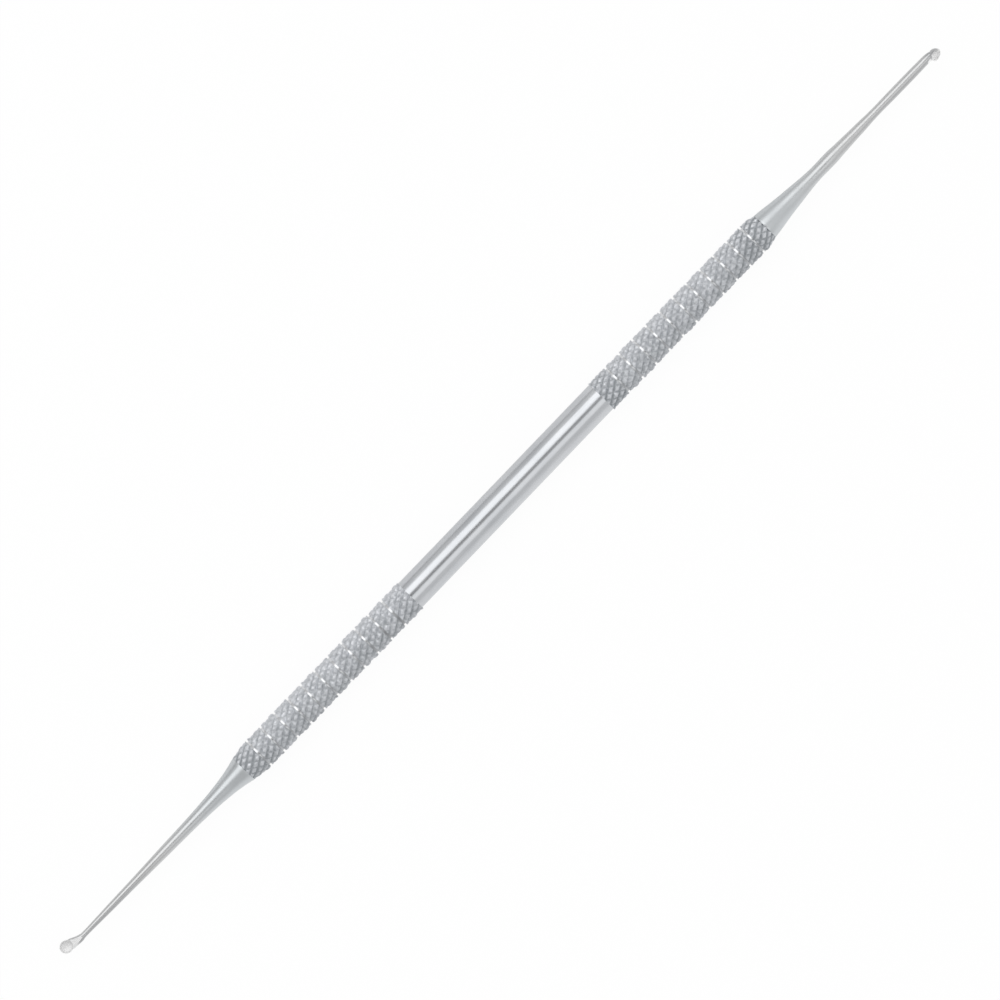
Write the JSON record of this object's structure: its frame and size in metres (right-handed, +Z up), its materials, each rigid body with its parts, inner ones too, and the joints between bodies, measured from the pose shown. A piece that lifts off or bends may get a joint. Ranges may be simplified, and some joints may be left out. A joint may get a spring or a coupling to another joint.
{
  "type": "pedicure curette",
  "caption": "Double-ended pedicure curette: slim steel bar with knurled, ring-grooved grips, tapering shanks and a small scraping cup at each tip.",
  "frame": {"origin": "middle of the tool's length, on the surface that it lies on, straight under its long axis", "axes": "+X along the tool towards the scoop; +Y across it, towards the side that the spoon is bent to; +Z up, the way the spoon opens"},
  "size_m": [0.148, 0.0044, 0.0044],
  "materials": {
    "handle_steel": "satin-polished stainless bar with bright ring grooves and a knurl that is greyer in its valleys",
    "working_end_steel": "satin stainless steel, drawn along the shank",
    "silver_braze": "dull silver solder, hidden in the joint"
  },
  "bodies": {
    "root": {"handle": "handle_steel", "working_end_spoon": "working_end_steel", "working_end_scoop": "working_end_steel", "braze_ring_spoon": "silver_braze", "braze_ring_scoop": "silver_braze"}
  },
  "joints": []
}
